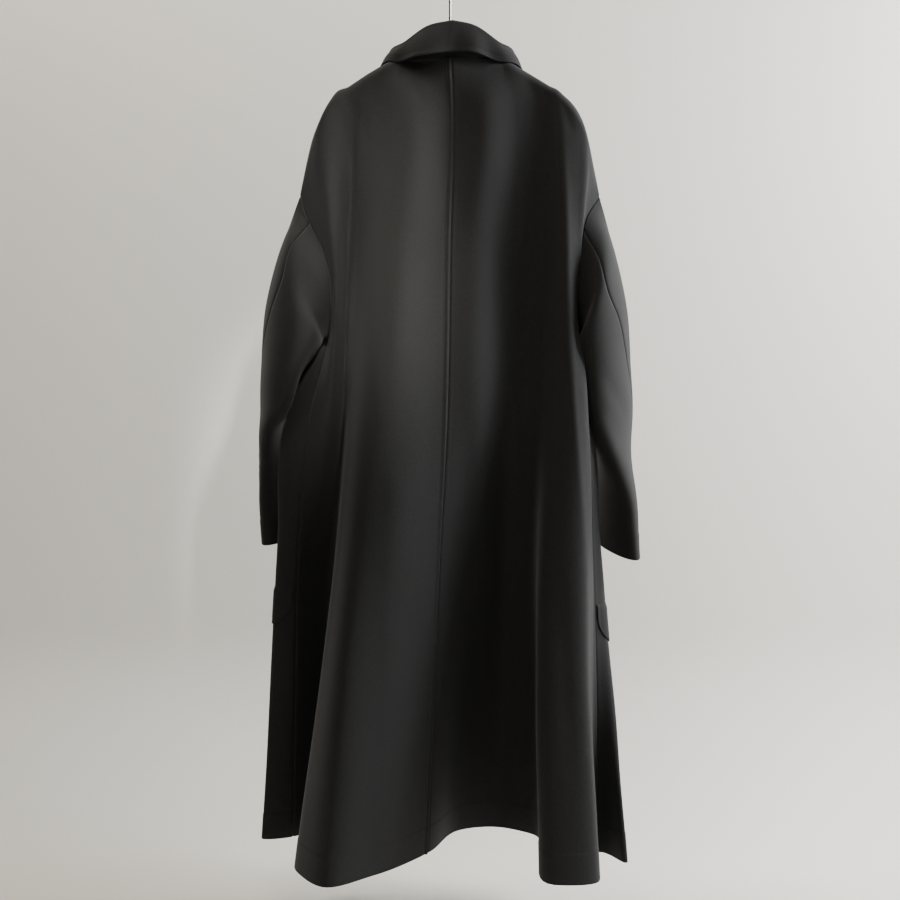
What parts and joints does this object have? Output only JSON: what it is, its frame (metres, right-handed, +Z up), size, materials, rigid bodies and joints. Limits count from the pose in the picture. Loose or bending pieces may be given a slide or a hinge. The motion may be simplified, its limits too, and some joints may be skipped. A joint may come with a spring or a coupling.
{
  "type": "chesterfield coat on a hanger",
  "caption": "Long loose heavy wool coat with dropped shoulders, a turned-down collar and flap pockets, hanging from a shaped hanger with a wire hook.",
  "frame": {"origin": "inner top of the hook, where a rod or wall hook carries the hanger", "axes": "+Z up, -Y towards the front of the coat, +X towards the wearer's left"},
  "size_m": [0.5723, 0.3075, 1.298],
  "materials": {
    "wool": "heavy black wool with a short felted nap",
    "horn": "dark polished horn",
    "wood": "satin lacquered wood",
    "steel": "bright plated wire"
  },
  "bodies": {
    "root": {"back_left": "wool", "back_right": "wool", "front_left": "wool", "front_right": "wool", "under_sleeve_left": "wool", "top_sleeve_left": "wool", "under_sleeve_right": "wool", "top_sleeve_right": "wool", "collar": "wool", "lapel_left": "wool", "lapel_right": "wool", "pocket_flap_left": "wool", "pocket_flap_right": "wool", "button_upper": "horn", "button_middle": "horn", "button_lower": "horn", "hanger": "wood", "hanger_hook": "steel"}
  },
  "joints": []
}
